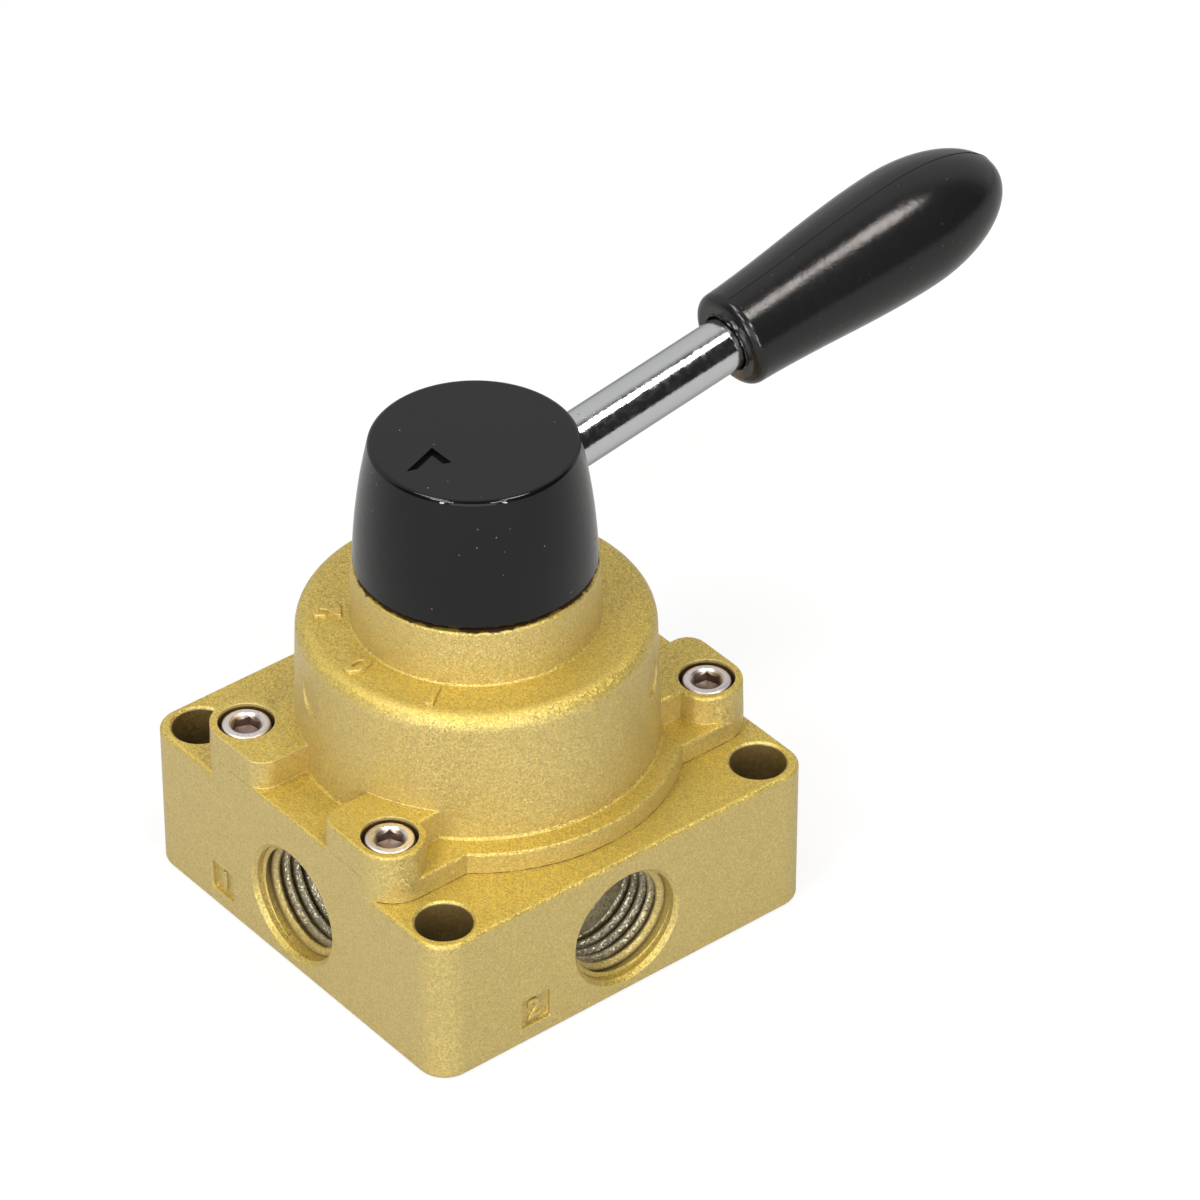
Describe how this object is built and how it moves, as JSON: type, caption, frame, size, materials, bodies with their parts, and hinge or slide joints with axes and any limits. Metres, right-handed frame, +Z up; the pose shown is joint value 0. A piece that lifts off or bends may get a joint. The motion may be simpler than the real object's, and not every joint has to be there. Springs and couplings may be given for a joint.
{
  "type": "hand lever air valve",
  "caption": "Square cast air valve with a threaded port in each side, a round cover and a black hub turned by an angled chrome lever with a tapered grip.",
  "frame": {"origin": "middle of the flat mounting face, on the axis that the lever turns about", "axes": "+Z up along the spindle, +X the way the lever leans out at neutral, +Y to the left of the lever seen from behind the hub"},
  "size_m": [0.096, 0.05, 0.0655],
  "materials": {
    "cast_paint": "gold metallic paint with fine flakes",
    "hub_plastic": "satin black moulding",
    "grip_plastic": "glossy black moulding",
    "rod_chrome": "bright plating",
    "screw_steel": "bright, formed",
    "steel": "turned",
    "brass": "turned",
    "seal_rubber": "moulded",
    "washer_plastic": "smooth",
    "disc_plastic": "lapped on the underside"
  },
  "bodies": {
    "valve": {"valve_body": "cast_paint", "cover": "cast_paint", "cover_seal": "seal_rubber", "cover_screws": "screw_steel", "shaft_bush": "brass", "thrust_washer": "washer_plastic", "hub_washer": "washer_plastic", "stop_pin": "steel"},
    "lever": {"hub": "hub_plastic", "shaft": "steel", "shaft_seal": "seal_rubber", "rotor_disc": "disc_plastic", "seat_spring": "steel", "lever_rod": "rod_chrome", "grip": "grip_plastic", "grip_insert": "brass", "detent_spring_left": "steel", "detent_spring_right": "steel"},
    "ball_left": {"detent_ball_left": "steel"},
    "ball_right": {"detent_ball_right": "steel"}
  },
  "joints": [
    {"name": "lever_turn", "type": "hinge", "parent": "valve", "child": "lever", "pos_m": [0, 0, 0.04868], "axis": [0, 0, 1], "range_deg": [-36, 36]},
    {"name": "detent_left", "type": "slide", "parent": "lever", "child": "ball_left", "axis": [0, 0, -1], "range_m": [0, 0.0003], "stiffness_N_per_m": 800, "deforming": ["detent_spring_left"]},
    {"name": "detent_right", "type": "slide", "parent": "lever", "child": "ball_right", "axis": [0, 0, -1], "range_m": [0, 0.0003], "stiffness_N_per_m": 800, "deforming": ["detent_spring_right"]}
  ]
}
